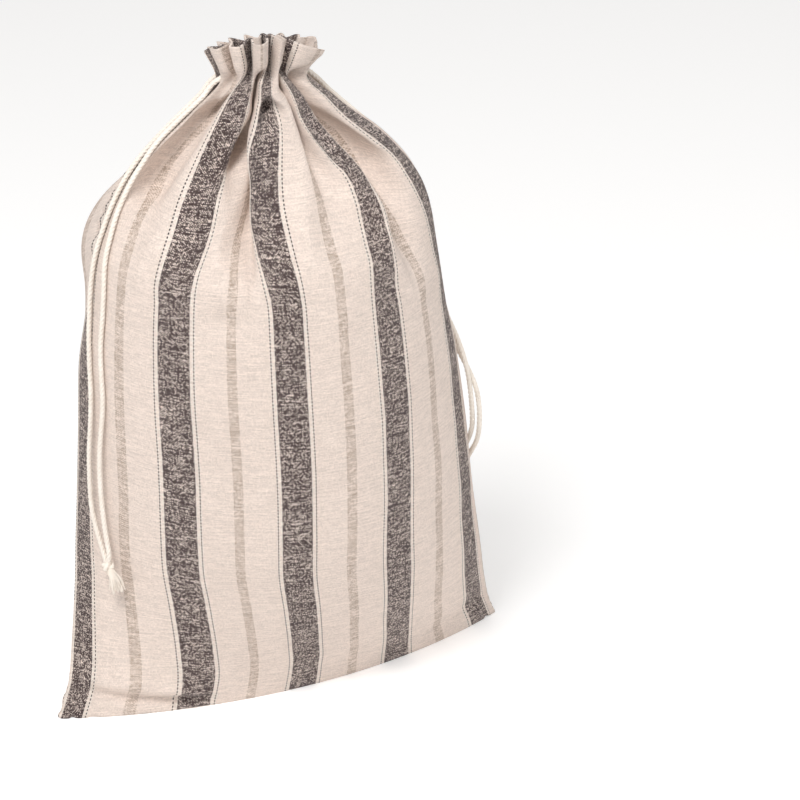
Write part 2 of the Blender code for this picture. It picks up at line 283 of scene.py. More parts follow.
BACK_PLEATS = [
    Pleat(-1.00, -1.000, -1.000, 0.000, 0.330), Pleat(-0.86, -0.850, -0.840, 0.008, 0.315),
    Pleat(-0.74, -0.730, -0.700, 0.000, 0.300), Pleat(-0.58, -0.600, -0.560, 0.017, 0.275),
    Pleat(-0.45, -0.470, -0.460, 0.000, 0.300), Pleat(-0.32, -0.310, -0.300, 0.011, 0.310),
    Pleat(-0.20, -0.190, -0.220, 0.000, 0.310), Pleat(-0.02, -0.060, -0.040, 0.019, 0.270),
    Pleat(0.12, 0.110, 0.140, 0.000, 0.300), Pleat(0.24, 0.250, 0.240, 0.010, 0.315),
    Pleat(0.35, 0.350, 0.340, 0.000, 0.300), Pleat(0.52, 0.490, 0.480, 0.018, 0.268),
    Pleat(0.64, 0.650, 0.620, 0.000, 0.300), Pleat(0.78, 0.790, 0.780, 0.010, 0.310),
    Pleat(0.90, 0.905, 0.910, 0.000, 0.320), Pleat(1.00, 1.000, 1.000, 0.000, 0.330),
]
Flute = namedtuple("Flute", "cloth neck depth")
FRONT_FLUTES = [
    Flute(-1.00, -1.00, 0.000), Flute(-0.93, -0.96, 0.001), Flute(-0.86, -0.91, 0.007),
    Flute(-0.81, -0.87, -0.001), Flute(-0.73, -0.73, -0.004), Flute(-0.66, -0.65, 0.011),
    Flute(-0.61, -0.59, -0.002), Flute(-0.56, -0.45, -0.002), Flute(-0.51, -0.38, 0.009),
    Flute(-0.43, -0.32, 0.011), Flute(-0.38, -0.28, -0.001), Flute(-0.25, -0.18, -0.005),
    Flute(-0.13, -0.08, -0.001), Flute(-0.06, -0.01, 0.009), Flute(0.03, 0.06, 0.010),
    Flute(0.10, 0.10, -0.002), Flute(0.24, 0.18, 0.000), Flute(0.34, 0.24, 0.011),
    Flute(0.44, 0.33, 0.009), Flute(0.51, 0.39, -0.003), Flute(0.63, 0.62, -0.006),
    Flute(0.76, 0.90, -0.004), Flute(0.83, 0.96, 0.002), Flute(0.92, 0.985, 0.002),
    Flute(1.00, 1.00, 0.000),
]
BACK_FLUTES = [
    Flute(-1.00, -1.00, 0.000), Flute(-0.90, -0.91, 0.006), Flute(-0.79, -0.80, 0.000),
    Flute(-0.68, -0.67, 0.008), Flute(-0.55, -0.54, 0.000), Flute(-0.44, -0.43, 0.007),
    Flute(-0.30, -0.30, 0.000), Flute(-0.18, -0.17, 0.009), Flute(-0.05, -0.05, 0.000),
    Flute(0.07, 0.08, 0.007), Flute(0.20, 0.20, 0.000), Flute(0.31, 0.32, 0.008),
    Flute(0.46, 0.45, 0.000), Flute(0.57, 0.57, 0.007), Flute(0.70, 0.69, 0.000),
    Flute(0.81, 0.82, 0.008), Flute(0.92, 0.91, 0.000), Flute(1.00, 1.00, 0.000),
]
Spread = namedtuple("Spread", "cloth belly")
FRONT_SPREAD = [
    Spread(-1.0, -1.0), Spread(-0.85, -0.905), Spread(-0.695, -0.727), Spread(-0.537, -0.535),
    Spread(-0.41, -0.40), Spread(-0.25, -0.233), Spread(-0.09, -0.066), Spread(0.035, 0.050),
    Spread(0.19, 0.212), Spread(0.35, 0.370), Spread(0.48, 0.495), Spread(0.635, 0.665),
    Spread(0.79, 0.845), Spread(0.92, 0.955), Spread(1.0, 1.0),
]
BACK_SPREAD = [Spread(-1.0, -1.0), Spread(1.0, 1.0)]
SHOULDER_LINE = 0.340
FAN_START = 0.275
FAN_END = 0.385
SEAM_GROOVE = 0.0045
print("pleats at the neck:", sum(row.depth > 0.003 for row in FRONT_PLEATS + BACK_PLEATS))

# %% [markdown]
# ## The shape of a panel
#
# One function takes a place on the flat cloth and gives the place where that bit of cloth stands. It
# spreads the cloth around the section's arc, moves it toward the pleat's line as the neck comes nearer, and
# then sinks the valleys toward the bag's middle. Over the casing the pleats change into the flutes of the
# loose heading.

# %% From flat cloth to standing cloth
SOLE_SHARE = 0.6
SOLE_END = 0.120
DEEPEST_FOLD = 0.66
CASING_LOW = 0.402
CASING_HIGH = 0.424


def ease(low, high, value):
    """0 below low, 1 above high, and a soft step between."""
    t = min(max((value - low) / (high - low), 0.0), 1.0)
    return t * t * (3 - 2 * t)


def standing_place(side, across, cloth):
    """Where the cloth at (across, cloth) stands. side is -1 for the front panel and 1 for the back one."""
    name = "front" if side < 0 else "back"
    pleats = FRONT_PLEATS if side < 0 else BACK_PLEATS
    flutes = FRONT_FLUTES if side < 0 else BACK_FLUTES
    spread = FRONT_SPREAD if side < 0 else BACK_SPREAD
    belly = curve_value(spread, "cloth", "belly", across)
    neck = curve_value(pleats, "cloth", "neck", across)
    foot = curve_value(pleats, "cloth", "foot", across)
    begun = ease(foot, 0.5 * (foot + GATHER_LINE) + 0.02, cloth)
    pleat_depth = curve_value(pleats, "cloth", "depth", across) * begun
    above = ease(CASING_LOW, CASING_HIGH, cloth)
    shoulder = curve_value(pleats, "cloth", "shoulder", across)
    around = belly + (shoulder - belly) * ease(FAN_START, SHOULDER_LINE, cloth)
    around += (neck - shoulder) * ease(SHOULDER_LINE, FAN_END, cloth)
    around += (curve_value(flutes, "cloth", "neck", across) - neck) * above
    sunk = pleat_depth + (curve_value(flutes, "cloth", "depth", across) - pleat_depth) * above

    def at(column):
        return curve_value(SECTIONS, "cloth", column, cloth)

    half_width = at("half_width")
    arc = 2 * math.atan2(at(name), half_width)
    if abs(arc) < 0.001:
        arc = 0.001
    angle = around * arc
    depth = half_width * (math.cos(angle) - math.cos(arc)) / math.sin(arc)
    sunk = min(sunk, DEEPEST_FOLD * abs(depth))
    x = half_width * math.sin(angle) / math.sin(arc) - sunk * math.sin(angle)
    y = side * (depth - sunk * math.cos(angle))
    groove = SEAM_GROOVE * ease(0.21, 0.27, cloth) * (1 - ease(0.385, 0.41, cloth))
    groove *= ease(0.88, 1.0, abs(across))
    x -= math.copysign(groove, across)
    sole = SOLE_SHARE * max(1 - cloth / SOLE_END, 0.0)
    edge = min(max((abs(across) - sole) / (1 - sole), 0.0), 1.0)
    mid_height = at(name + "_height")
    z = mid_height + (at("side_height") - mid_height) * edge**2
    turn = math.radians(at("turn"))
    return Vector((
        x * math.cos(turn) - y * math.sin(turn) + at("drift"),
        x * math.sin(turn) + y * math.cos(turn),
        z,
    ))


print("front of the belly:", [round(v, 4) for v in standing_place(-1, 0.0, 0.2)])

# %% [markdown]
# ## Both panels as one sewn mesh
#
# For the settling, the two panels are one mesh. Each starts as a flat grid. Its vertices keep their flat
# place in layers of the mesh, which give the UV map that the stripes and the weave follow, and the true
# lengths for the simulation. The side seams are welded. Along the bottom the front's cloth is spread
# sideways and the back's isn't, so most vertices there don't meet and stay unwelded: both edges lie on
# one line, and they are pinned while the cloth settles.

# %% Make the sewn bag
ACROSS_STEPS = 104
ALONG_STEPS = 112
Row = namedtuple("Row", "share cloth")
ROWS = [Row(0.00, 0.000), Row(0.12, 0.030), Row(0.70, 0.360), Row(1.00, PANEL_LENGTH)]


def sewn_bag():
    """Both panels in one mesh, each vertex's flat place in its layers. Rows are closest at neck and sole."""
    bm = bmesh.new()
    side_layer = bm.verts.layers.int.new("side")
    across_layer = bm.verts.layers.float.new("across")
    cloth_layer = bm.verts.layers.float.new("cloth")
    panel_layer = bm.faces.layers.int.new("panel")
    uv_layer = bm.loops.layers.uv.new("flat_cloth")
    for side in (-1, 1):
        grid = bmesh.ops.create_grid(bm, x_segments=ACROSS_STEPS, y_segments=ALONG_STEPS, size=1.0)
        for vertex in grid["verts"]:
            vertex[side_layer] = side
            vertex[across_layer] = vertex.co.x
            vertex[cloth_layer] = curve_value(ROWS, "share", "cloth", (vertex.co.y + 1) / 2)
        for face in {face for vertex in grid["verts"] for face in vertex.link_faces}:
            face[panel_layer] = side
            for loop in face.loops:
                flat_across = (loop.vert[across_layer] + 1) / 2 * PANEL_WIDTH
                loop[uv_layer].uv = (flat_across, loop.vert[cloth_layer])
        for vertex in grid["verts"]:
            vertex.co = standing_place(side, vertex[across_layer], vertex[cloth_layer])
    back = [face for face in bm.faces if face[panel_layer] > 0]
    bmesh.ops.reverse_faces(bm, faces=back)
    seam = [v for v in bm.verts if abs(v[across_layer]) > 0.9999 or v[cloth_layer] < 0.0001]
    bmesh.ops.remove_doubles(bm, verts=seam, dist=0.0004)
    return bm


bag_bmesh = sewn_bag()
open_edges = [edge for edge in bag_bmesh.edges if edge.is_boundary]
print("bag:", len(bag_bmesh.verts), "vertices; open edges:", len(open_edges))
print("of these,", 2 * ACROSS_STEPS, "are at the mouth and the rest along the bottom seam")

# %% [markdown]
# ## Letting the cloth settle
#
# The function above puts the cloth in place, but real linen has a fixed length: what is too long for its
# place buckles into soft folds. Blender's cloth simulation finds them. A shape key with the flat panels
# gives the true lengths. The neck and the sole are pinned, and the belly is held so firmly that it hardly
# moves, so the bag keeps its stance. Only the shoulders are held loosely: there the cloth moves by up to
# a centimetre. A light pressure from inside stands for what fills the bag.

# %% Settle the sewn bag
SETTLE_FRAMES = 24
HOLD_BELLY = 0.40
HOLD_SHOULDER = 0.08
HOLD_SIDE = 0.60
REST_BULGE = 0.02
FILL_PRESSURE = 0.8
WEIGHT_SHARE = 0.25


def settled(bm):
    """Runs the cloth simulation, moves the vertices to where it leaves them, and returns how far each moved."""
    side_layer = bm.verts.layers.int["side"]
    across_layer = bm.verts.layers.float["across"]
    cloth_layer = bm.verts.layers.float["cloth"]
    mesh = bpy.data.meshes.new("settling_bag")
    bm.to_mesh(mesh)
    bag = bpy.data.objects.new("settling_bag", mesh)
    bpy.context.scene.collection.objects.link(bag)
    bag.shape_key_add(name="standing")
    flat_key = bag.shape_key_add(name="flat")
    pins = bag.vertex_groups.new(name="pins")
    for index, vertex in enumerate(bm.verts):
        across, cloth = vertex[across_layer], vertex[cloth_layer]
        bulge = vertex[side_layer] * REST_BULGE * (1 - across**2) * ease(0.0, 0.06, cloth)
        flat_key.data[index].co = (across * PANEL_WIDTH / 2, bulge, cloth)
        hold = HOLD_BELLY + (HOLD_SHOULDER - HOLD_BELLY) * ease(0.22, 0.30, cloth)
        hold += (HOLD_SIDE - hold) * ease(0.70, 0.95, abs(across)) * ease(0.20, 0.29, cloth)
        hold += (1 - hold) * ease(0.388, 0.408, cloth)
        hold += (1 - hold) * (1 - ease(0.002, 0.012, vertex.co.z))
        pins.add([index], hold, "REPLACE")
    settling = bag.modifiers.new("settling", "CLOTH")
    settings = settling.settings
    settings.quality = 6
    settings.mass = 0.15
    settings.tension_stiffness = 30
    settings.compression_stiffness = 30
    settings.shear_stiffness = 6
    settings.bending_stiffness = 4
    settings.air_damping = 4
    settings.vertex_group_mass = "pins"
    settings.rest_shape_key = flat_key
    settings.effector_weights.gravity = WEIGHT_SHARE
    settings.use_pressure = True
    settings.uniform_pressure_force = FILL_PRESSURE
    settling.collision_settings.use_collision = False
    settling.point_cache.frame_start = 1
    settling.point_cache.frame_end = SETTLE_FRAMES
    for frame_number in range(1, SETTLE_FRAMES + 1):
        bpy.context.scene.frame_set(frame_number)
    shaped = bag.evaluated_get(bpy.context.evaluated_depsgraph_get())
    places = [v.co.copy() for v in shaped.data.vertices]
    bpy.context.scene.frame_set(1)
    bpy.data.objects.remove(bag)
    moved = [(place - v.co).length for place, v in zip(places, bm.verts)]
    for vertex, place in zip(bm.verts, places):
        vertex.co = place
    return sorted(moved)


moved = settled(bag_bmesh)
print("settling moved half the cloth", round(1000 * moved[len(moved) // 2], 1), "mm or more; at most",
      round(1000 * moved[-1], 1))

# %% [markdown]
# ## Listed creases
#
# The simulation doesn't know where this bag was handled. Its main creases are listed one by one, each as a
# short line on the flat cloth along which the surface sinks softly, or rises where the depth is negative. A
# push moves a whole patch of cloth a given way and fades with the distance from its middle: it makes the
# deep pocket between two pleats, the bulge behind the left seam, the drooping lip of the heading and the
# room that the back panel needs at both bottom corners. Side 0 means both panels. A little slow noise keeps
# the cloth from looking ironed.

# %% Press the creases and the crumple
Crease = namedtuple("Crease", "side start end depth width")
CREASES = [
    Crease(-1, (-0.40, 0.352), (-0.52, 0.348), 0.0022, 0.006),
    Crease(-1, (-0.36, 0.338), (-0.50, 0.336), -0.0018, 0.008),
    Crease(-1, (-0.74, 0.385), (-0.70, 0.330), 0.0090, 0.009),
    Crease(-1, (0.66, 0.380), (0.66, 0.325), 0.0085, 0.010),
    Crease(-1, (-0.34, 0.288), (-0.12, 0.284), -0.0042, 0.009),
    Crease(-1, (-0.33, 0.270), (-0.16, 0.268), 0.0028, 0.007),
    Crease(-1, (-0.62, 0.283), (-0.44, 0.288), -0.0016, 0.009),
    Crease(-1, (-0.80, 0.325), (-0.66, 0.312), -0.0018, 0.010),
    Crease(-1, (-0.69, 0.402), (-0.66, 0.392), -0.0034, 0.006),
    Crease(-1, (0.34, 0.340), (0.52, 0.316), -0.0020, 0.009),
    Crease(-1, (0.54, 0.305), (0.74, 0.285), 0.0022, 0.010),
    Crease(-1, (0.60, 0.275), (0.82, 0.262), -0.0018, 0.010),
    Crease(-1, (-0.90, 0.0180), (-0.42, 0.0050), 0.0042, 0.0030),
    Crease(-1, (-0.86, 0.0250), (-0.48, 0.0120), -0.0026, 0.0045),
    Crease(-1, (0.55, 0.012), (0.93, 0.022), 0.0018, 0.006),
    Crease(-1, (-0.10, 0.022), (0.25, 0.016), 0.0012, 0.008),
    Crease(1, (-0.50, 0.290), (-0.20, 0.282), -0.0022, 0.010),
    Crease(1, (0.10, 0.286), (0.36, 0.292), -0.0022, 0.010),
    Crease(1, (-0.70, 0.075), (-0.20, 0.062), 0.0018, 0.010),
    Crease(1, (0.15, 0.066), (0.62, 0.080), 0.0018, 0.010),
]
Push = namedtuple("Push", "side across cloth reach_across reach_cloth move")
PUSHES = [
    Push(0, -1.00, 0.335, 0.30, 0.055, (-0.0030, 0.0000, 0.0000)),
    Push(1, -0.82, 0.318, 0.17, 0.040, (-0.0125, 0.0040, 0.0000)),
    Push(0, 1.00, 0.335, 0.30, 0.045, (0.0045, 0.0000, 0.0000)),
    Push(-1, -0.335, 0.361, 0.048, 0.012, (0.0010, 0.0260, -0.0020)),
    Push(-1, -0.660, 0.405, 0.060, 0.006, (-0.0020, -0.0065, 0.0000)),
    Push(-1, -0.100, 0.364, 0.075, 0.016, (-0.0065, -0.0040, 0.0000)),
    Push(-1, -0.010, 0.386, 0.060, 0.006, (0.0000, 0.0130, 0.0000)),
    Push(-1, 0.080, 0.397, 0.080, 0.008, (-0.0050, -0.0030, 0.0000)),
    Push(-1, -0.66, 0.387, 0.080, 0.007, (0.0020, 0.0090, -0.0030)),
    Push(-1, 0.80, 0.440, 0.25, 0.014, (0.0000, 0.0000, -0.0095)),
    Push(1, -0.94, 0.008, 0.12, 0.014, (0.0000, 0.0035, 0.0000)),
    Push(1, 0.94, 0.008, 0.12, 0.014, (0.0000, 0.0035, 0.0000)),
]
CRUMPLE_SIZE = 0.034
CRUMPLE_DEPTH = 0.0011
CREASE_TAPER = 0.3


def crease_shift(crease, flat):
    """How far a crease moves the cloth at a flat place, in metres, inward positive."""
    start = Vector((crease.start[0] * PANEL_WIDTH / 2, crease.start[1]))
    end = Vector((crease.end[0] * PANEL_WIDTH / 2, crease.end[1]))
    along = (flat - start).dot(end - start) / (end - start).length_squared
    nearest = start.lerp(end, min(max(along, 0.0), 1.0))
    fade = ease(-CREASE_TAPER, CREASE_TAPER, along) * (1 - ease(1 - CREASE_TAPER, 1 + CREASE_TAPER, along))
    return crease.depth * fade * math.exp(-((flat - nearest).length / crease.width) ** 2)


side_layer = bag_bmesh.verts.layers.int["side"]
across_layer = bag_bmesh.verts.layers.float["across"]
cloth_layer = bag_bmesh.verts.layers.float["cloth"]
bag_bmesh.normal_update()
inward_shifts = []
for vertex in bag_bmesh.verts:
    side, across, cloth = vertex[side_layer], vertex[across_layer], vertex[cloth_layer]
    flat = Vector((across * PANEL_WIDTH / 2, cloth))
    shift = sum(crease_shift(crease, flat) for crease in CREASES if crease.side == side)
    shift += CRUMPLE_DEPTH * noise.noise(vertex.co / CRUMPLE_SIZE) * ease(0.002, 0.02, vertex.co.z)
    inward_shifts.append(shift * ease(0.0, 0.06, 1 - abs(across)))
for vertex, shift in zip(bag_bmesh.verts, inward_shifts):
    vertex.co -= vertex.normal * shift
    for push in PUSHES:
        if push.side in (0, vertex[side_layer]):
            away_across = (vertex[across_layer] - push.across) / push.reach_across
            away_cloth = (vertex[cloth_layer] - push.cloth) / push.reach_cloth
            vertex.co += math.exp(-away_across**2 - away_cloth**2) * Vector(push.move)
print("deepest crease in mm:", round(1000 * max(inward_shifts), 1))

# %% [markdown]
# ## Two panels again
#
# The settled bag is cut back into its two panels, because each is one sheet of cloth. One level of
# subdivision rounds the folds, and Solidify gives the cloth its thickness toward the inside. Along the
# seams the cloth is pressed flat by the stitches, so a vertex group thins the sheet there, and the two
# panels don't push through one another.

# %% Cut the bag into its two panels
SEAM_PRESSED = 0.010
SEAM_SHARE = 0.3


def panel_object(name, side):
    """One panel of the settled bag as an object: side is -1 for the front and 1 for the back."""
    copy = bag_bmesh.copy()
    layer = copy.faces.layers.int["panel"]
    bmesh.ops.delete(copy, geom=[f for f in copy.faces if f[layer] != side], context="FACES")
    mesh = bpy.data.meshes.new(name)
    for face in copy.faces:
        face.smooth = True
    across_layer, cloth_layer = copy.verts.layers.float["across"], copy.verts.layers.float["cloth"]
    flat_places = [(vertex[across_layer], vertex[cloth_layer]) for vertex in copy.verts]
    copy.to_mesh(mesh)
    copy.free()
    piece = bpy.data.objects.new(name, mesh)
    bpy.context.scene.collection.objects.link(piece)
    finer = piece.modifiers.new("finer", "SUBSURF")
    finer.levels = finer.render_levels = 1
    room = piece.vertex_groups.new(name="room")
    for index, place in enumerate(flat_places):
        across, cloth = place
        from_seam = min((1 - abs(across)) * PANEL_WIDTH / 2, cloth)
        room.add([index], ease(0.0, SEAM_PRESSED, from_seam), "REPLACE")
    solid = piece.modifiers.new("thickness", "SOLIDIFY")
    solid.thickness = CLOTH_THICKNESS
    solid.offset = -1
    solid.vertex_group = "room"
    solid.thickness_vertex_group = SEAM_SHARE
    return piece


front_cloth = panel_object("front_cloth", -1)
back_cloth = panel_object("back_cloth", 1)
panel_faces = [len(piece.data.polygons) for piece in (front_cloth, back_cloth)]
print("faces in each panel before the modifiers:", panel_faces)

# %% [markdown]
# ## The weave
#
# Plain-woven linen has threads going up and across that pass over and under each other in turn. The node
# group below makes that from the flat cloth's own coordinates, so the threads bend with the folds. The
# product of two sine waves changes its sign from one crossing to the next, which tells whether the upright
# thread is on top. Linen is spun unevenly, so a random value for each crossing and for each short run of a
# cross thread is added, which breaks the checks into specks and streaks. Stretched noise gives each thread
# its own tone and thickness.

# %% Helpers for node groups
def colour(red, green, blue):
    """A screen colour, 0 to 255 a channel, as the linear colour that a shader takes."""
    def linear(value):
        value /= 255
        return value / 12.92 if value <= 0.04045 else ((value + 0.055) / 1.055) ** 2.4
    return (linear(red), linear(green), linear(blue), 1.0)


def add_node(tree, kind, settings=None, **inputs):
    """Adds a node, sets its settings, and joins or sets each input by its name or, as in0, by its number."""
    made = tree.nodes.new(kind)
    for key, value in (settings or {}).items():
        setattr(made, key, value)
    for key, value in inputs.items():
        place = int(key[2:]) if key.startswith("in") and key[2:].isdigit() else key.replace("_", " ")
        socket = made.inputs[place]
        if isinstance(value, bpy.types.NodeSocket):
            tree.links.new(value, socket)
        else:
            socket.default_value = value
    return made


def maths(tree, operation, *values):
    """One Math node's output."""
    inputs = {f"in{index}": value for index, value in enumerate(values)}
    return add_node(tree, "ShaderNodeMath", {"operation": operation}, **inputs).outputs[0]


def new_group(name, inputs, outputs):
    """A node group with float or vector inputs and float outputs: its tree, input node and output node."""
    tree = bpy.data.node_groups.new(name, "ShaderNodeTree")
    for label, kind, value in inputs:
        socket = tree.interface.new_socket(label, in_out="INPUT", socket_type=kind)
        if value is not None:
            socket.default_value = value
    for label in outputs:
        tree.interface.new_socket(label, in_out="OUTPUT", socket_type="NodeSocketFloat")
    return tree, tree.nodes.new("NodeGroupInput"), tree.nodes.new("NodeGroupOutput")


print("a mid grey of 128 is", round(colour(128, 128, 128)[0], 3), "in linear light")

# %% The weave group
THREAD_SPACING = 0.00068
THREAD_WANDER = 0.8
CHECKS = 0.7
SPECKS = 1.5
STREAKS = 0.7
THICKNESS_SHARE = 2.0
RUNS_PER_THREAD = 0.14
ROW_OFFSET = 9.0


def make_weave_group():
    """For a place on the flat cloth: which thread is on top, how high it lies and what tone it has."""
    tree, given, result = new_group(
        "linen_weave",
        [("Cloth", "NodeSocketVector", None), ("Thread Spacing", "NodeSocketFloat", THREAD_SPACING),
         ("Slubs", "NodeSocketFloat", 0.5)],
        ["Raised", "Upright Tone", "Cross Tone", "Slub", "Speck", "Height"],
    )
    flat = add_node(tree, "ShaderNodeSeparateXYZ", Vector=given.outputs["Cloth"])
    wander = add_node(tree, "ShaderNodeTexNoise", Vector=given.outputs["Cloth"], Scale=120.0, Detail=2.0)
    drift = maths(tree, "MULTIPLY", maths(tree, "SUBTRACT", wander.outputs[0], 0.5), THREAD_WANDER)
    upright = maths(tree, "ADD", maths(tree, "DIVIDE", flat.outputs[0], given.outputs["Thread Spacing"]), drift)
    cross = maths(tree, "ADD", maths(tree, "DIVIDE", flat.outputs[1], given.outputs["Thread Spacing"]), drift)

    def tone(along_x, along_y):
        place = add_node(tree, "ShaderNodeCombineXYZ", X=maths(tree, "MULTIPLY", upright, along_x),
                         Y=maths(tree, "MULTIPLY", cross, along_y))
        return add_node(tree, "ShaderNodeTexNoise", Vector=place.outputs[0], Scale=1.0, Detail=2.0).outputs[0]

    upright_tone = tone(0.9, 0.05)
    cross_tone = tone(0.035, 0.9)
    cell = add_node(tree, "ShaderNodeCombineXYZ", X=maths(tree, "FLOOR", upright),
                    Y=maths(tree, "FLOOR", cross))
    speck = add_node(tree, "ShaderNodeTexWhiteNoise", {"noise_dimensions": "2D"},
                     Vector=cell.outputs[0]).outputs[0]
    wave_up = maths(tree, "SINE", maths(tree, "MULTIPLY", upright, math.pi))
    wave_cross = maths(tree, "SINE", maths(tree, "MULTIPLY", cross, math.pi))
    crossing = maths(tree, "MULTIPLY", wave_up, wave_cross)
    thicker = maths(tree, "MULTIPLY", maths(tree, "SUBTRACT", upright_tone, cross_tone), given.outputs["Slubs"])
    row_start = add_node(tree, "ShaderNodeTexWhiteNoise", {"noise_dimensions": "1D"},
                         W=maths(tree, "FLOOR", cross))
    run = maths(tree, "ADD", maths(tree, "MULTIPLY", upright, RUNS_PER_THREAD),
                maths(tree, "MULTIPLY", row_start.outputs[0], ROW_OFFSET))
    piece = add_node(tree, "ShaderNodeCombineXYZ", X=maths(tree, "FLOOR", run), Y=maths(tree, "FLOOR", cross))
    slub = add_node(tree, "ShaderNodeTexWhiteNoise", {"noise_dimensions": "2D"},
                    Vector=piece.outputs[0]).outputs[0]
    raised = maths(tree, "ADD", maths(tree, "MULTIPLY", crossing, CHECKS),
                   maths(tree, "MULTIPLY", thicker, THICKNESS_SHARE))
    specks = maths(tree, "MULTIPLY", maths(tree, "SUBTRACT", speck, 0.5), SPECKS)
    raised = maths(tree, "ADD", raised, specks)
    streaks = maths(tree, "MULTIPLY", maths(tree, "SUBTRACT", slub, 0.5), STREAKS)
    raised = maths(tree, "SUBTRACT", raised, streaks)
    on_top = add_node(tree, "ShaderNodeMath", {"operation": "ADD", "use_clamp": True},
                      in0=raised, in1=0.5).outputs[0]
    crown_up = maths(tree, "MULTIPLY", maths(tree, "ABSOLUTE", wave_up), on_top)
    crown_cross = maths(tree, "MULTIPLY", maths(tree, "ABSOLUTE", wave_cross),
                        maths(tree, "SUBTRACT", 1.0, on_top))
    thick_part = maths(tree, "MULTIPLY", cross_tone, given.outputs["Slubs"])
    height = maths(tree, "ADD", maths(tree, "ADD", crown_up, crown_cross), thick_part)
    for label, value in (("Raised", raised), ("Upright Tone", upright_tone), ("Cross Tone", cross_tone),
                         ("Slub", slub), ("Speck", speck), ("Height", height)):
        tree.links.new(value, result.inputs[label])
    return tree


weave_group = make_weave_group()
print("weave: one thread every", 1000 * THREAD_SPACING, "mm")

# %% [markdown]
# ## The stripes
#
# The stripes are woven in: some of the upright threads are dyed and the cross threads are all cream, which
# is why a dark stripe looks like salt and pepper. The pattern repeats every 66.5 mm: a dark stripe, a band
# of bleached threads on both sides of it with one dark thread in each, and a narrow taupe stripe half-way
# to the next one. A colour belongs to a whole thread, so the masks use the middle of the thread that a
# point lies on.

# %% The stripe group
STRIPE_REPEAT = 0.0665
DARK_HALF = 0.0095
PALE_HALF = 0.0125
PIN_THREAD = 0.0119
TAUPE_HALF = 0.0030
PIN_STITCH = 0.0022
PIN_SHOWS = 0.55


def make_stripe_group():
    """The node group with a mask for each colour of upright thread."""
    tree, given, result = new_group(
        "woven_stripes",
        [("Cloth", "NodeSocketVector", None), ("Thread Spacing", "NodeSocketFloat", THREAD_SPACING),
         ("First Stripe", "NodeSocketFloat", 0.0125)],
        ["Dark", "Pale", "Pin", "Taupe"],
    )
    flat = add_node(tree, "ShaderNodeSeparateXYZ", Vector=given.outputs["Cloth"])
    thread = maths(tree, "ADD", maths(tree, "SNAP", flat.outputs[0], given.outputs["Thread Spacing"]),
                   maths(tree, "MULTIPLY", given.outputs["Thread Spacing"], 0.5))
    shifted = maths(tree, "ADD", maths(tree, "SUBTRACT", thread, given.outputs["First Stripe"]),
                    STRIPE_REPEAT / 2)
    repeat = maths(tree, "FLOORED_MODULO", shifted, STRIPE_REPEAT)
    away = maths(tree, "ABSOLUTE", maths(tree, "SUBTRACT", repeat, STRIPE_REPEAT / 2))
    dark = maths(tree, "LESS_THAN", away, DARK_HALF)
    pale = maths(tree, "SUBTRACT", maths(tree, "LESS_THAN", away, PALE_HALF), dark)
    on_line = maths(tree, "COMPARE", away, PIN_THREAD, THREAD_SPACING / 2)
    dash = maths(tree, "LESS_THAN", maths(tree, "FLOORED_MODULO", flat.outputs[1], PIN_STITCH),
                 PIN_STITCH * PIN_SHOWS)
    pin = maths(tree, "MULTIPLY", on_line, dash)
    taupe = maths(tree, "GREATER_THAN", away, STRIPE_REPEAT / 2 - TAUPE_HALF)
    for label, value in (("Dark", dark), ("Pale", pale), ("Pin", pin), ("Taupe", taupe)):
        tree.links.new(value, result.inputs[label])
    return tree


stripe_group = make_stripe_group()
print("stripes across one panel:", round(PANEL_WIDTH / STRIPE_REPEAT, 1), "repeats")

# %% [markdown]
# ## The linen
#
# The material puts the two groups together. The upright thread's colour is cream, dark, taupe or bleached,
# the cross thread's is cream, and the weave says which is on top. Soft large patches and the threads' own
# tones keep the cream from looking printed. The colour is darkened where a thread lies low, which is painted
# shade between the threads, and varied by the yarn's own streaks and specks. A bump from the weave's height
# gives the dry, grainy surface of linen.

# %% Make the linen for both panels
CREAM = colour(225, 207, 196)
CREAM_LIGHT = colour(236, 221, 210)
BLEACHED = colour(232, 222, 212)
DARK_YARN = colour(54, 41, 41)
DARK_YARN_LIGHT = colour(88, 73, 72)
TAUPE_YARN = colour(184, 165, 150)
DARK_SHOWS = 0.47
GRAIN = 1.35
# The first of these three factors darkens the colour where a thread lies low, as painted shade between the
# threads. The other two add the yarn's own streaks and specks.
THREAD_HEIGHT_SHADE = 0.5
RELIEF_OF_STREAKS = 0.6
RELIEF_OF_SPECKS = 0.6


def mixed(tree, factor, first, second):
    """A colour between two, as a Mix node's output."""
    made = tree.nodes.new("ShaderNodeMix")
    made.data_type = "RGBA"
    for place, value in ((0, factor), (6, first), (7, second)):
        if isinstance(value, bpy.types.NodeSocket):
            tree.links.new(value, made.inputs[place])
        else:
            made.inputs[place].default_value = value
    return made.outputs[2]


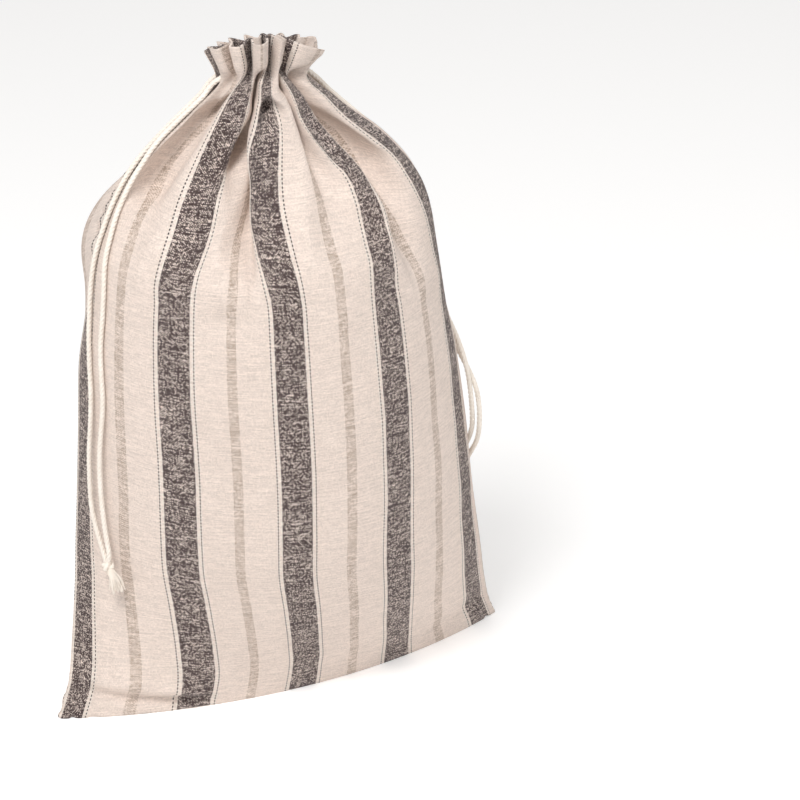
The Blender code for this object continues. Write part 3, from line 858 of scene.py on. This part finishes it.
def make_linen(name, first_stripe):
    """The striped linen, with its first dark stripe's middle this far from the panel's left edge."""
    linen = bpy.data.materials.new(name)
    linen.use_nodes = True
    tree = linen.node_tree
    finish = tree.nodes["Principled BSDF"]
    cloth = add_node(tree, "ShaderNodeUVMap", {"uv_map": "flat_cloth"}).outputs[0]
    weave = add_node(tree, "ShaderNodeGroup", {"node_tree": weave_group}, Cloth=cloth, Slubs=0.55)
    stripes = add_node(tree, "ShaderNodeGroup", {"node_tree": stripe_group}, Cloth=cloth,
                       First_Stripe=first_stripe)
    patches = add_node(tree, "ShaderNodeTexNoise", Vector=cloth, Scale=28.0, Detail=3.0).outputs[0]
    cream = mixed(tree, patches, CREAM, CREAM_LIGHT)
    upright_cream = mixed(tree, weave.outputs["Upright Tone"], cream, CREAM_LIGHT)
    dark = mixed(tree, weave.outputs["Upright Tone"], DARK_YARN, DARK_YARN_LIGHT)
    yarn = mixed(tree, stripes.outputs["Pale"], upright_cream, BLEACHED)
    yarn = mixed(tree, stripes.outputs["Taupe"], yarn, TAUPE_YARN)
    yarn = mixed(tree, stripes.outputs["Dark"], yarn, dark)
    yarn = mixed(tree, stripes.outputs["Pin"], yarn, DARK_YARN)
    cross_cream = mixed(tree, weave.outputs["Cross Tone"], CREAM, CREAM_LIGHT)
    shown = maths(tree, "ADD", weave.outputs["Raised"],
                  maths(tree, "MULTIPLY", stripes.outputs["Dark"], DARK_SHOWS))
    shown = maths(tree, "MULTIPLY", shown, GRAIN)
    cover = add_node(tree, "ShaderNodeMath", {"operation": "ADD", "use_clamp": True},
                     in0=shown, in1=0.5).outputs[0]
    cover = maths(tree, "MAXIMUM", cover, stripes.outputs["Pin"])
    woven = mixed(tree, cover, cross_cream, yarn)
    # Painted shade and real tone: the colour is multiplied by a factor that is lower where the weave's threads
    # lie low (painted shade), with the yarn's streaks, specks and cross tone mixed in.
    streaks = maths(tree, "MULTIPLY", weave.outputs["Slub"], RELIEF_OF_STREAKS)
    thread_shade_and_tone = maths(tree, "ADD", maths(tree, "MULTIPLY", weave.outputs["Height"], THREAD_HEIGHT_SHADE),
                   maths(tree, "ADD", weave.outputs["Cross Tone"], streaks))
    thread_shade_and_tone = maths(tree, "ADD", thread_shade_and_tone, maths(tree, "MULTIPLY", weave.outputs["Speck"], RELIEF_OF_SPECKS))
    shade_and_tone_factor = add_node(tree, "ShaderNodeMapRange", Value=thread_shade_and_tone, From_Min=0.4, From_Max=2.6,
                     To_Min=0.70, To_Max=1.18).outputs[0]
    shaded = add_node(tree, "ShaderNodeMix", {"data_type": "RGBA", "blend_type": "MULTIPLY"})
    shaded.inputs[0].default_value = 1.0
    tree.links.new(woven, shaded.inputs[6])
    tree.links.new(shade_and_tone_factor, shaded.inputs[7])
    tree.links.new(shaded.outputs[2], finish.inputs["Base Color"])
    bump = add_node(tree, "ShaderNodeBump", Height=weave.outputs["Height"], Strength=0.8, Distance=0.00028)
    tree.links.new(bump.outputs[0], finish.inputs["Normal"])
    finish.inputs["Roughness"].default_value = 0.92
    finish.inputs["Specular IOR Level"].default_value = 0.2
    finish.inputs["Sheen Weight"].default_value = 0.12
    finish.inputs["Sheen Roughness"].default_value = 0.6
    return linen


FRONT_FIRST_STRIPE = 0.0125
BACK_FIRST_STRIPE = 0.0458
front_linen = make_linen("front_linen", FRONT_FIRST_STRIPE)
back_linen = make_linen("back_linen", BACK_FIRST_STRIPE)
front_cloth.data.materials.append(front_linen)
back_cloth.data.materials.append(back_linen)
for piece, node in ((front_cloth, "front_panel"), (back_cloth, "back_panel")):
    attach(piece, "root")
    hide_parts(node)
print("linen on:", front_cloth.name, back_cloth.name)

# %% [markdown]
# ## The cotton cords
#
# The cord is three plies of soft cotton laid together. A curve is swept with a three-lobed section, and the
# section turns as it goes along, which twists the lobes into plies. The tilt of a curve point does that
# turning.

# %% Sweep a twisted cord
PLY_TURN = 0.0085
CORD_STEP = 0.0016
SECTION_POINTS = 18


def smooth_line(points, spacing):
    """Even points along a Catmull-Rom curve through the given points."""
    ends = [2 * points[0] - points[1], *points, 2 * points[-1] - points[-2]]
    fine = []
    for i in range(1, len(ends) - 2):
        a, b, c, d = ends[i - 1:i + 3]
        for step in range(24):
            t = step / 24
            fine.append(0.5 * (2 * b + (c - a) * t + (2 * a - 5 * b + 4 * c - d) * t**2
                               + (3 * b - a - 3 * c + d) * t**3))
    fine.append(points[-1])
    total = sum((q - p).length for p, q in zip(fine, fine[1:]))
    count = max(round(total / spacing), 2)
    line, walked, target = [fine[0]], 0.0, total / count
    for p, q in zip(fine, fine[1:]):
        length = (q - p).length
        while walked + length >= target - 1e-9 and len(line) < count:
            line.append(p.lerp(q, (target - walked) / length))
            target += total / count
        walked += length
    line.append(fine[-1])
    return line


def ply_section(radius):
    """A closed curve with three lobes, swept along a cord to make its plies."""
    section = bpy.data.curves.new("ply_section", "CURVE")
    outline = section.splines.new("POLY")
    outline.points.add(SECTION_POINTS - 1)
    outline.use_cyclic_u = True
    for index, point in enumerate(outline.points):
        angle = 2 * math.pi * index / SECTION_POINTS
        reach = radius * (0.80 + 0.20 * abs(math.cos(1.5 * angle)))
        point.co = (reach * math.cos(angle), reach * math.sin(angle), 0.0, 1.0)
    section_object = bpy.data.objects.new("ply_section", section)
    bpy.context.scene.collection.objects.link(section_object)
    return section_object


def laid_cord(name, points, radius, closed=False):
    """A twisted cord as a mesh, swept along the points."""
    curve = bpy.data.curves.new(name, "CURVE")
    curve.dimensions = "3D"
    curve.twist_mode = "MINIMUM"
    line = curve.splines.new("POLY")
    line.points.add(len(points) - 1)
    line.use_cyclic_u = closed
    walked = 0.0
    for index, point in enumerate(points):
        if index:
            walked += (point - points[index - 1]).length
        line.points[index].co = (*point, 1.0)
        line.points[index].tilt = 2 * math.pi * walked / PLY_TURN
    section = ply_section(radius)
    curve.bevel_mode = "OBJECT"
    curve.bevel_object = section
    curve.use_fill_caps = not closed
    swept = bpy.data.objects.new(name, curve)
    bpy.context.scene.collection.objects.link(swept)
    graph = bpy.context.evaluated_depsgraph_get()
    mesh = bpy.data.meshes.new_from_object(swept.evaluated_get(graph))
    bpy.data.objects.remove(swept)
    bpy.data.objects.remove(section)
    mesh.name = name
    for face in mesh.polygons:
        face.use_smooth = True
    piece = bpy.data.objects.new(name, mesh)
    bpy.context.scene.collection.objects.link(piece)
    return piece


print("a cord's plies turn once in", 1000 * PLY_TURN, "mm")

# %% [markdown]
# ## The strands on the cloth
#
# Each strand follows its route from the casing to the knot. High up it lies on the cloth, so its points are
# moved to the nearest place on the cloth plus half a cord. Lower down it hangs free and is only kept from
# sinking in. Both its ends stay where they are, in the casing and in the knot. A BVH tree finds the nearest
# place fast.

# %% Lay the strands
cloth_tree = BVHTree.FromBMesh(bag_bmesh)
CORD_CLEAR = CORD_DIAMETER / 2 + 0.0004
KNOT_CLEAR = 0.0038
LIES_ABOVE = {"left": 0.24, "right": 0.24}
HANGS_BELOW = {"left": 0.15, "right": 0.20}
ROUGH_STEP = 0.004
NEAR_CLOTH = 0.03
KNOT_FREE = 0.03


def cleared(point):
    """The point, pushed out of the cloth until a knot there lies on it."""
    place, normal, _, _ = cloth_tree.find_nearest(point)
    return point + normal * max(KNOT_CLEAR - (point - place).dot(normal), 0.0)


KNOTS = {hand: cleared(Vector(centre)) for hand, centre in KNOTS.items()}


def laid_on_cloth(points, hand):
    """The points, moved onto the cloth where the strand lies on it, and out of the cloth elsewhere."""
    moved = []
    for point in points:
        place, normal, _, _ = cloth_tree.find_nearest(point)
        height = (point - place).dot(normal)
        lies = ease(HANGS_BELOW[hand], LIES_ABOVE[hand], point.z) * ease(0.0, 0.02, (point - points[0]).length)
        rise = CORD_CLEAR - height
        shift = rise * lies if rise < 0 else rise * ease(0.004, 0.012, (point - points[0]).length)
        shift *= ease(0.0, KNOT_FREE, (point - points[-1]).length)
        moved.append(point + normal * shift if (point - place).length < NEAR_CLOTH else point)
    return moved


strand_lines = {}
strand_pieces = {}
for strand, route in STRANDS.items():
    hand = "left" if "left" in strand else "right"
    line = smooth_line([Vector(point) for point in (*route, KNOTS[hand])], ROUGH_STEP)
    for _ in range(2):
        laid = laid_on_cloth(line, hand)
        line = smooth_line(laid[:-1:3] + laid[-1:], ROUGH_STEP)
    line = smooth_line(line[:-1:2] + line[-1:], CORD_STEP)
    strand_lines[strand] = line
    strand_pieces[strand] = laid_cord(strand + "_rope", line, CORD_DIAMETER / 2)

# %% [markdown]
# ## Knots and frayed ends
#
# The two strands of a side are tied together in one overhand knot, and below it they come apart into loose
# cotton. An overhand knot pulled closed is a trefoil, a curve that goes twice round and three times over
# itself. The frayed end is many thin bent fibres that leave the knot together and spread, each a few faces
# round.

# %% Tie the knots
KNOT_SIZE = 0.00088
KNOT_CORD_RADIUS = 0.00135
KNOT_POINTS = 72
ABOVE_KNOT = 8


def tied_knot(name, centre, down):
    """A small overhand knot at centre, its axis along the cord's direction."""
    turned = down.to_track_quat("Z", "Y")
    points = []
    for step in range(KNOT_POINTS):
        t = 2 * math.pi * step / KNOT_POINTS
        place = Vector((
            math.sin(t) + 2 * math.sin(2 * t),
            math.cos(t) - 2 * math.cos(2 * t),
            -1.35 * math.sin(3 * t),
        ))
        points.append(centre + turned @ (KNOT_SIZE * place))
    return laid_cord(name, points, KNOT_CORD_RADIUS, closed=True)


knot_pieces = {}
for hand, centre in KNOTS.items():
    down = (centre - strand_lines[f"cord_{hand}_a"][-ABOVE_KNOT]).normalized()
    knot_pieces[hand] = tied_knot(f"tied_knot_{hand}", centre, down)
    print("knot", hand, "is", round(1000 * max(knot_pieces[hand].dimensions), 1), "mm across")

# %% Fray the ends
FIBRE_COUNT = 110
FIBRE_RADIUS = 0.00034
FRAY_LENGTH = 0.017
FRAY_WIDTH = 0.0046
FRAY_TOP_WIDTH = 0.0013
FIBRE_STEPS = 6
FRAY_LEAN = 0.20
FRAYS = {"left": Vector((0.40, -0.46, -1.00)), "right": Vector((0.10, 0.20, -1.00))}


def frayed_end(name, top, along, seed):
    """Loose fibres from one point: curves with a round section, made a mesh."""
    rng = random.Random(seed)
    along = along.normalized()
    turned = along.to_track_quat("Z", "Y")
    curve = bpy.data.curves.new(name, "CURVE")
    curve.dimensions = "3D"
    curve.bevel_depth = FIBRE_RADIUS
    curve.bevel_resolution = 0
    curve.use_fill_caps = True
    for _ in range(FIBRE_COUNT):
        angle = rng.uniform(0, 2 * math.pi)
        reach = math.sqrt(rng.random())
        length = FRAY_LENGTH * rng.uniform(0.72, 1.0)
        bend = rng.uniform(-0.0006, 0.0006)
        wave = rng.uniform(0, 6.28)
        fibre = curve.splines.new("POLY")
        fibre.points.add(FIBRE_STEPS)
        for index, point in enumerate(fibre.points):
            t = index / FIBRE_STEPS
            spread = (FRAY_TOP_WIDTH + (FRAY_WIDTH - FRAY_TOP_WIDTH) * t**1.5) * reach
            sway = bend * math.sin(wave + 5 * t) + 0.0009 * math.sin(2.2 * t)
            place = turned @ Vector((
                spread * math.cos(angle) + sway, spread * math.sin(angle) + sway, length * t,
            ))
            point.co = (*(top + place), 1.0)
            point.radius = 1.0 - 0.5 * t
    source = bpy.data.objects.new(name, curve)
    bpy.context.scene.collection.objects.link(source)
    graph = bpy.context.evaluated_depsgraph_get()
    mesh = bpy.data.meshes.new_from_object(source.evaluated_get(graph))
    bpy.data.objects.remove(source)
    piece = bpy.data.objects.new(name, mesh)
    bpy.context.scene.collection.objects.link(piece)
    return piece


fray_pieces = {}
for seed, (hand, along) in enumerate(FRAYS.items()):
    outward = cloth_tree.find_nearest(KNOTS[hand])[1]
    fray_pieces[hand] = frayed_end(f"frayed_end_{hand}", KNOTS[hand], along + FRAY_LEAN * outward, seed)
    print("frayed end", hand, "has", FIBRE_COUNT, "fibres")

# %% [markdown]
# ## The cotton's finish
#
# Bleached cotton cord is soft and matt, a warm white, and darker between its plies only because light
# doesn't reach there. Fine noise gives its fuzz, and a faint larger noise gives the yarn's uneven tone.

COTTON = colour(234, 223, 210)
COTTON_LIGHT = colour(248, 241, 232)


def make_cotton(name, grain):
    """Matt cotton with a fuzz this fine."""
    cotton = bpy.data.materials.new(name)
    cotton.use_nodes = True
    tree = cotton.node_tree
    finish = tree.nodes["Principled BSDF"]
    place = add_node(tree, "ShaderNodeTexCoord").outputs["Object"]
    fuzz = add_node(tree, "ShaderNodeTexNoise", Vector=place, Scale=grain, Detail=3.0).outputs[0]
    uneven = add_node(tree, "ShaderNodeTexNoise", Vector=place, Scale=140.0, Detail=2.0).outputs[0]
    tree.links.new(mixed(tree, uneven, COTTON, COTTON_LIGHT), finish.inputs["Base Color"])
    bump = add_node(tree, "ShaderNodeBump", Height=fuzz, Strength=0.5, Distance=0.0002)
    tree.links.new(bump.outputs[0], finish.inputs["Normal"])
    finish.inputs["Roughness"].default_value = 0.95
    finish.inputs["Specular IOR Level"].default_value = 0.15
    finish.inputs["Sheen Weight"].default_value = 0.2
    return cotton


twisted_cotton = make_cotton("twisted_cotton", 2600.0)
loose_cotton = make_cotton("loose_cotton", 4200.0)
for hand in KNOTS:
    for piece, node, finish, slot in (
        (knot_pieces[hand], f"knot_{hand}", twisted_cotton, "cord"),
        (fray_pieces[hand], f"tassel_{hand}", loose_cotton, "tassel"),
        (strand_pieces[f"cord_{hand}_a"], f"cord_{hand}_a", twisted_cotton, "cord"),
        (strand_pieces[f"cord_{hand}_b"], f"cord_{hand}_b", twisted_cotton, "cord"),
    ):
        piece.data.materials.append(finish)
        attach(piece, "root")
        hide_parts(node)
for strand, line in strand_lines.items():
    hand = "left" if "left" in strand else "right"
print("cords declared:", len(strand_lines))
